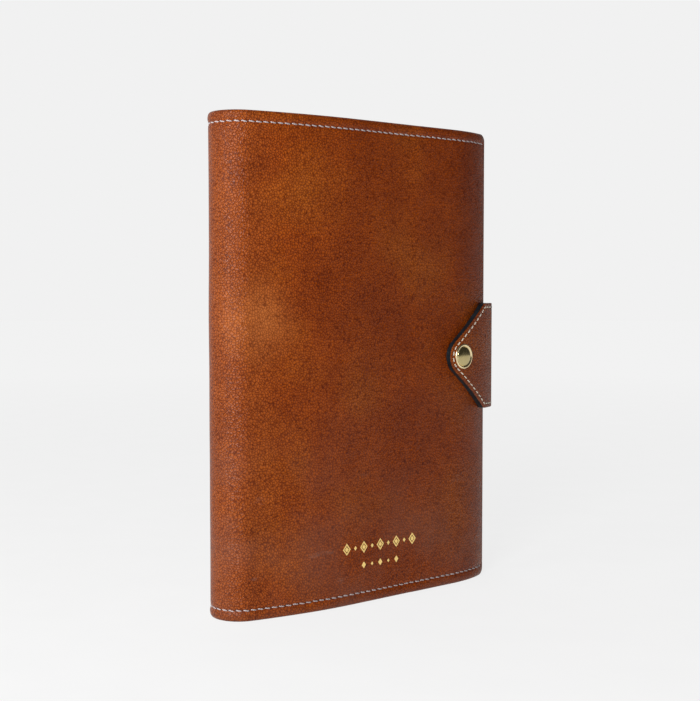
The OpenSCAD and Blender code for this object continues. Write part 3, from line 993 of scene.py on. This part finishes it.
# eased painted edges, then the margin, the seam's groove and the slightly full middle
inset_face(blank, lambda f: f.normal.y < -0.9,
           [(0.12 * MM, 0.16 * MM), (0.2 * MM, 0.12 * MM), (0.3 * MM, 0.06 * MM),
            (0.9 * MM, 0.0), (0.3 * MM, -0.1 * MM), (0.2 * MM, -0.12 * MM), (0.2 * MM, 0.12 * MM),
            (0.3 * MM, 0.1 * MM), (1.2 * MM, 0.03 * MM)])
inset_face(blank, lambda f: f.normal.y > 0.9, [(0.2 * MM, 0.12 * MM), (0.4 * MM, 0.05 * MM)])
co = get_co(blank)
co[:, 1] -= co[:, 1].min()
co[:, 1] *= TAB_T / co[:, 1].max()
set_co(blank, co)
marks = list(np.arange(W_TIP + 1.5 * MM, W_GAP - 0.5 * MM, 2.0 * MM)) + [W_GAP, W_FOLD] \
    + list(np.linspace(W_FOLD, W_SIDE, 9)[1:]) + list(np.linspace(W_SIDE, W_TURN, 5)[1:]) \
    + list(np.linspace(W_TURN, W_BASE, 11)[1:]) + list(np.arange(W_BASE + 6 * MM, W_END, 8 * MM))
slice_at(blank, marks)
W_HALF = (W_SIDE + W_TURN) / 2

# the socket sits in a round recess on the flap's underside, deep enough for the stud
RECESS, RECESS_R = 2.1 * MM, 4.95 * MM
rest()
bpy.ops.mesh.primitive_cylinder_add(vertices=48, radius=RECESS_R, depth=2 * RECESS,
                                    location=(U_SNAP, TAB_T, 0), rotation=(math.pi / 2, 0, 0))
cutter = named("socket_cutter")
settle()


TAB_CUT = (0.21, 0.09)          # the tab is cut from another part of the hide


def tab_part(name, keep_low):
    part = blank.copy()
    part.data = blank.data.copy()
    bpy.context.scene.collection.objects.link(part)
    part.name = name
    part.data.name = name
    crop(part, W_HALF, keep_low)
    if keep_low:
        hold(part)
        hollow = part.modifiers.new("recess", "BOOLEAN")
        hollow.operation = "DIFFERENCE"
        hollow.object = cutter
        hollow.solver = "EXACT"
        apply_all(part)
    outside_out(part)
    finish_on(part, LEATHER, EDGE, LINING)
    for face in part.data.polygons:
        c, n = face.center, face.normal
        face.material_index = 2 if n.y > 0.7 else 1 if n.y > -0.5 else 0
        if abs(c.x - W_HALF) < 1e-5:
            face.material_index = 1
    co = get_co(part)
    w, d, z = co.T
    set_co(part, tab_place(w, d, z + TAB_Z))
    remember_pattern(part, np.stack([w + TAB_CUT[0], z + TAB_CUT[1], d], -1))
    shade(part, 38)
    return part


def tab_point(w, d):
    return tuple(tab_place(np.array([w]), np.array([d]), np.array([TAB_Z]))[0])


flap = tab_part("tab_flap_panel", True)
heel = tab_part("tab_base_panel", False)
FLAP_BEND = (tab_point(W_GAP - 1 * MM, TAB_T), tab_point(W_HALF, TAB_T))
HEEL_BEND = (tab_point(W_HALF, TAB_T), tab_point(W_BASE + 2 * MM, TAB_T))


def bends_flap(obj):
    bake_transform(obj)


def bends_heel(obj):
    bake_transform(obj)


bends_flap(flap)
bends_heel(heel)
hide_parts("tab_flap_leather", "tab_flap_lining")
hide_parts("tab_strap_leather", "tab_strap_lining", "tab_base_leather", "tab_base_lining")
scrap(blank)
scrap(cutter)

# the tab's seam runs 2 mm inside its outline, all the way round
SEAM_IN = 2.05 * MM
TAB_PITCH = 3.1 * MM
TAB_SINK, TAB_LEAN = 0.14 * MM, math.radians(7)
tab_stitch = model_stitch("tab_stitch_model", 2.35 * MM, 0.72 * MM, 0.6 * MM, CREAM_THREAD)


def even_walk(points, pitch):
    """places and directions at an even pitch along a closed outline"""
    p = np.array(points)
    seg = np.linalg.norm(np.roll(p, -1, 0) - p, axis=1)
    total = seg.sum()
    n = int(round(total / pitch))
    run = np.concatenate([[0], np.cumsum(seg)])
    out = []
    for i in range(n):
        s = (i + 0.5) * total / n
        j = min(np.searchsorted(run, s, "right") - 1, len(seg) - 1)
        a, b = p[j], p[(j + 1) % len(p)]
        f = (s - run[j]) / seg[j]
        q = a + (b - a) * f
        out.append((q[0], q[1], math.atan2(b[1] - a[1], b[0] - a[0])))
    return out


def on_tab(w0, z0, depth, angle):
    def move(co):
        co = lean(co, angle)
        w, z = w0 + co[:, 0], z0 + co[:, 2]
        d = co[:, 1] + depth
        return tab_place(w, d, z + TAB_Z), np.stack([w, z, d], -1)
    return move


walk = even_walk(tab_outline(SEAM_IN), TAB_PITCH)
for name, part, bend, nodes_for in (
        ("tab_flap", [p for p in walk if p[0] < W_HALF], bends_flap, ["tab_flap_stitching"]),
        ("tab_base", [p for p in walk if p[0] >= W_HALF], bends_heel, ["tab_base_stitching"])):
    sewn = copies(tab_stitch, f"{name}_threads",
                  [on_tab(w, z, TAB_SINK, t + TAB_LEAN) for w, z, t in part])
    outside_out(sewn)
    bend(sewn)
    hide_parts(*nodes_for)

# ---------------------------------------------------------------- the snap

CAP_R = 6.2 * MM
CAP_RISE = 1.5 * MM
RIM_WIDE = 1.5 * MM             # rolled rim round the dome
DOME_FOOT = 0.34 * MM           # height at which the dome leaves the rim
CAP_FOOT = 0.2 * MM             # how far the cap is pressed into the leather
snap_turn = float(cover_turn(U_SNAP))
SNAP_OUT = outward(snap_turn)
cap_seat = tab_place(np.array([U_SNAP]), np.array([0.12 * MM]), np.array([TAB_Z]))[0]


def turned(name, profile, steps=72):
    """a round part: its profile (r, h) spun about the z axis"""
    rest()
    bpy.ops.mesh.primitive_circle_add(vertices=len(profile), radius=1, fill_type="NOTHING")
    obj = named(name)
    set_co(obj, np.array([[r, 0, h] for r, h in profile]))
    hold(obj)
    # the profile is open along the axis: its first and last points lie on it
    for e in obj.data.edges:
        e.select = all(obj.data.vertices[i].co.x < 1e-9 for i in e.vertices)
    for v in obj.data.vertices:
        v.select = False
    bpy.ops.object.mode_set(mode="EDIT")
    bpy.ops.mesh.select_mode(type="EDGE")
    bpy.ops.mesh.delete(type="EDGE_FACE")
    bpy.ops.mesh.select_all(action="SELECT")
    bpy.ops.mesh.spin(steps=steps, angle=math.tau, center=(0, 0, 0), axis=(0, 0, 1), dupli=False)
    bpy.ops.mesh.select_all(action="SELECT")
    bpy.ops.mesh.remove_doubles(threshold=1e-6)
    bpy.ops.mesh.normals_make_consistent(inside=False)
    put_down()
    return obj


def set_on_snap(obj, seat):
    """turns a part made about z so that its z points out of the front at the snap"""
    co = get_co(obj)
    side = onward(snap_turn)
    x, y, z = co.T
    out = np.zeros_like(co)
    out[:, 0] = seat[0] + x * side[0] + z * SNAP_OUT[0]
    out[:, 1] = seat[1] + x * side[1] + z * SNAP_OUT[1]
    out[:, 2] = seat[2] + y
    set_co(obj, out)
    outside_out(obj)


rim = [(CAP_R - inwards * MM, up * MM) for inwards, up in (
    (0.0, 0.25), (0.04, 0.42), (0.16, 0.6), (0.36, 0.72), (0.62, 0.76), (0.9, 0.72), (1.15, 0.6),
    (1.32, 0.44), (1.42, 0.34))]
dome_r = CAP_R - RIM_WIDE
dome = [(dome_r * math.cos(t), DOME_FOOT + (CAP_RISE - DOME_FOOT) * math.sin(t))
        for t in np.linspace(0.0, math.pi / 2, 16)[1:-1]]
foot = [(0, -CAP_FOOT), (CAP_R - 0.5 * MM, -CAP_FOOT), (CAP_R - 0.05 * MM, -CAP_FOOT / 2)]
cap = turned("snap_cap_dome", foot + rim + dome + [(0, CAP_RISE)])
set_on_snap(cap, cap_seat)
finish_on(cap, BRASS, DARK_REFLECTION_BRASS)
# the dome takes the brass with the painted dark reflection, the rolled rim the pale brass
for face in cap.data.polygons:
    face.material_index = int((face.center - Vector(cap_seat)).length < dome_r
                              and face.normal.dot(Vector((*SNAP_OUT, 0))) > 0.1)
shade(cap, 35)
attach(cap, "tab_flap")
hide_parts("snap_cap")
for node in ("snap_socket", "snap_stud", "snap_post"):
    finish_on(nodes[node], BRASS)

# ---------------------------------------------------------------- stamped ornament


def model_lozenge(name, ring):
    """a stamped lozenge; with ring it is a frame with a small lozenge left in its middle"""
    rest()
    bpy.ops.mesh.primitive_circle_add(vertices=4, radius=1, fill_type="NGON")
    obj = named(name)
    set_co(obj, np.array([[0.5, 0, 0], [0, 0, 0.62], [-0.5, 0, 0], [0, 0, -0.62]]) * MM)
    edit_all(obj)
    if ring:
        bpy.ops.mesh.inset(thickness=0.12 * MM, depth=0)
        bpy.ops.mesh.inset(thickness=0.09 * MM, depth=0)
        # the frame and the middle stay, the band between them goes
        put_down()
        pick_faces(obj, lambda f: 0.25 * MM < max(
            abs(obj.data.vertices[i].co.x) for i in f.vertices) < 0.45 * MM)
        bpy.ops.mesh.delete(type="FACE")
    edit_all(obj)
    bpy.ops.mesh.subdivide(number_cuts=1)
    bpy.ops.mesh.select_all(action="SELECT")
    pull_out(0, -0.12 * MM, 0)
    put_down()
    return obj


framed = model_lozenge("framed_lozenge_model", True)
plain = model_lozenge("plain_lozenge_model", False)
MIDDLE = U_FLAT + 13 * MM
ORNAMENT_Z = 26.5 * MM
ORNAMENT_PITCH = 5.2 * MM
ORNAMENT_ROW = 8.5 * MM         # the short row lies this far below the long one
WIDE, DOT, LOW_WIDE, LOW_DOT = 4.5, 1.7, 2.6, 1.4   # widths in mm
FOIL_SINK = 0.04 * MM


def pressed(u0, z0, size):
    def move(co):
        u, z = u0 + co[:, 0] * size, z0 + co[:, 2] * size
        d = hide_swell(u, z) + edge_dip(u, z) + co[:, 1] + FOIL_SINK
        return cover_place(u, d, z), np.stack([u, z, d], -1)
    return move


# a row of framed lozenges with small ones between, and a shorter, smaller row below
large, small = [], []
for i in range(-4, 5):
    (small if i % 2 else large).append(
        pressed(MIDDLE + i * ORNAMENT_PITCH, ORNAMENT_Z, DOT if i % 2 else WIDE))
for i in range(-2, 3):
    small.append(pressed(MIDDLE + i * ORNAMENT_PITCH, ORNAMENT_Z - ORNAMENT_ROW,
                         LOW_DOT if i % 2 else LOW_WIDE))
ornament = joined("stamped_lozenges", [copies(framed, "large_lozenges", large),
                                       copies(plain, "small_lozenges", small)])
outside_out(ornament)
finish_on(ornament, FOIL)
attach(ornament, "front_cover")
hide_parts("front_ornament")
for spare in (stitch, hole, tab_stitch, framed, plain):
    scrap(spare)

# ---------------------------------------------------------------- the notebook

PAGE_W = 130 * MM
T_SPINE, T_EDGE = 7 * MM, 3.9 * MM
PAGE_LEAN = math.radians(1.8)
GUTTER = np.array(joints["pages_back_turn"]["pos_m"][:2])
PAGE_LOW, PAGE_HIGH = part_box("pages_back")[0].z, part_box("pages_back")[1].z
GATHERINGS = 9
FIRST_LEAF = 0.05 * MM          # space between the two halves
LEAF_EASE = 0.16 * MM           # the gatherings round off towards the gutter


def page_half(name, side, body, node):
    """half the pages as sewn gatherings, each a thin bent stack with its own fore-edge"""
    random.seed(11 + side)
    along_x = np.array([math.cos(PAGE_LEAN), math.sin(PAGE_LEAN)])
    up = side * np.array([-math.sin(PAGE_LEAN), math.cos(PAGE_LEAN)])
    stacks = []
    for g in range(GATHERINGS):
        short = random.uniform(0.0, 0.7) * MM
        low = random.uniform(0, 0.3) * MM
        f0 = (g + 0.04) / GATHERINGS
        f1 = (g + 0.96) / GATHERINGS
        if g == GATHERINGS - 1:
            f1 = 1.0
        marks = [0.0, 0.02, 0.05, 0.1] + list(np.linspace(0.2, 0.92, 7)) + [0.97, 0.99, 1.0]
        z0, z1 = PAGE_LOW + low, PAGE_HIGH - low
        section = [(0.0, z1), (0.0, z0), (1.0, z0), (1.0, z1)]
        stack = drawn_strip(f"{name}_{g}", section, marks)
        co = get_co(stack)
        f, d, z = co.T
        x = f * (PAGE_W - short)
        bite = quarter_round((1 - f) * PAGE_W, CORNER_R)
        z = np.where(z < HEIGHT / 2, z + bite, z - bite)
        thick = T_SPINE + (T_EDGE - T_SPINE) * x / PAGE_W
        ease = LEAF_EASE * np.exp(-x / MM)
        h = FIRST_LEAF + (thick - FIRST_LEAF) * (f0 + (f1 - f0) * d) \
            + np.where(d < 0.5, ease, -ease)
        p = GUTTER + x[:, None] * along_x + h[:, None] * up
        set_co(stack, np.concatenate([p, z[:, None]], 1))
        remember_pattern(stack, np.stack([x, h, z], -1))
        stacks.append(stack)
    block = joined(name, stacks)
    outside_out(block)
    finish_on(block, PAPER)
    shade(block, 30)
    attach(block, body)
    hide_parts(node)


page_half("back_leaves", 1, "pages_back", "pages_back")
page_half("front_leaves", -1, "pages_front", "pages_front")
for node in ("notebook_card_back", "notebook_card_front"):
    finish_on(nodes[node], CARD)

# ---------------------------------------------------------------- studio


FLOOR_R, FLOOR_T = 5, 0.04


def studio_floor():
    rest()
    bpy.ops.mesh.primitive_circle_add(vertices=96, radius=FLOOR_R, fill_type="NGON")
    floor = named("studio_floor")
    edit_all(floor)
    pull_out(0, 0, -FLOOR_T)
    put_down()
    outside_out(floor)
    b = Bench("pale_floor")
    at = b.place()
    grain = b.noise(at, 30, 3, 0.5)
    colour = b.ramp(grain, [(0.3, (0.11, 0.11, 0.11)), (0.7, (0.12, 0.12, 0.12))])
    far = b.add("ShaderNodeVectorMath", operation="LENGTH")
    b.link(at, far.inputs[0])
    glow = b.span(far.outputs["Value"], 0.1, 1.6, 0.8, 0.855)
    finish_on(floor, b.set(Base_Color=colour, Roughness=0.9, Specular_IOR_Level=0.0,
                           Emission_Color=(1.0, 1.0, 1.0), Emission_Strength=glow))


studio_floor()

world = bpy.data.worlds.new("studio")
bpy.context.scene.world = world
world.use_nodes = True
back = world.node_tree.nodes["Background"]
back.inputs["Color"].default_value = (1, 1, 1, 1)
# the room is pale behind the cover and dark on the side that the front faces
links, make = world.node_tree.links, world.node_tree.nodes.new
look, facing, shade_of, rays, level = (make(kind) for kind in (
    "ShaderNodeTexCoord", "ShaderNodeVectorMath", "ShaderNodeMapRange", "ShaderNodeLightPath",
    "ShaderNodeMix"))
facing.operation = "DOT_PRODUCT"
facing.inputs[1].default_value = (0.2, 1.0, 0.1)
links.new(look.outputs["Generated"], facing.inputs[0])
for key, value in (("From Min", 0.2), ("From Max", 0.9), ("To Min", 0.06), ("To Max", 0.95)):
    shade_of.inputs[key].default_value = value
links.new(facing.outputs["Value"], shade_of.inputs["Value"])
links.new(rays.outputs["Is Camera Ray"], level.inputs["Factor"])
links.new(shade_of.outputs["Result"], level.inputs["A"])
level.inputs["B"].default_value = 0.88
links.new(level.outputs["Result"], back.inputs["Strength"])


def softbox(name, at, target, size, power):
    light = bpy.data.lights.new(name, "AREA")
    light.shape = "RECTANGLE"
    light.size, light.size_y = size
    light.energy = power
    obj = bpy.data.objects.new(name, light)
    bpy.context.scene.collection.objects.link(obj)
    obj.location = at
    obj.rotation_euler = (Vector(target) - Vector(at)).to_track_quat("-Z", "Y").to_euler()
    return obj


middle = Vector((0, 0, HEIGHT / 2))
CAMERA_AT = (-0.36016, -0.50506, 0.14866)
CAMERA_DIP, CAMERA_TURN = 2.865, 34.947         # degrees down, and round from the front
LENS_MM, FILM_MM = 66.857, 36
softbox("left_softbox", (-0.8, -0.08, 0.3), middle, (0.3, 0.6), 3.8)
softbox("strip_softbox", (-0.74, -0.58, 0.5), middle, (0.3, 0.42), 9.5)

bpy.context.scene.view_settings.view_transform = "Standard"
bpy.context.scene.view_settings.look = "None"

lens = bpy.data.cameras.new("camera")
lens.lens = LENS_MM
lens.sensor_width = FILM_MM
lens.sensor_fit = "HORIZONTAL"
camera = bpy.data.objects.new("camera", lens)
bpy.context.scene.collection.objects.link(camera)
camera.location = CAMERA_AT
camera.rotation_euler = (math.radians(90 - CAMERA_DIP), 0, math.radians(-CAMERA_TURN))
bpy.context.scene.camera = camera

rest()
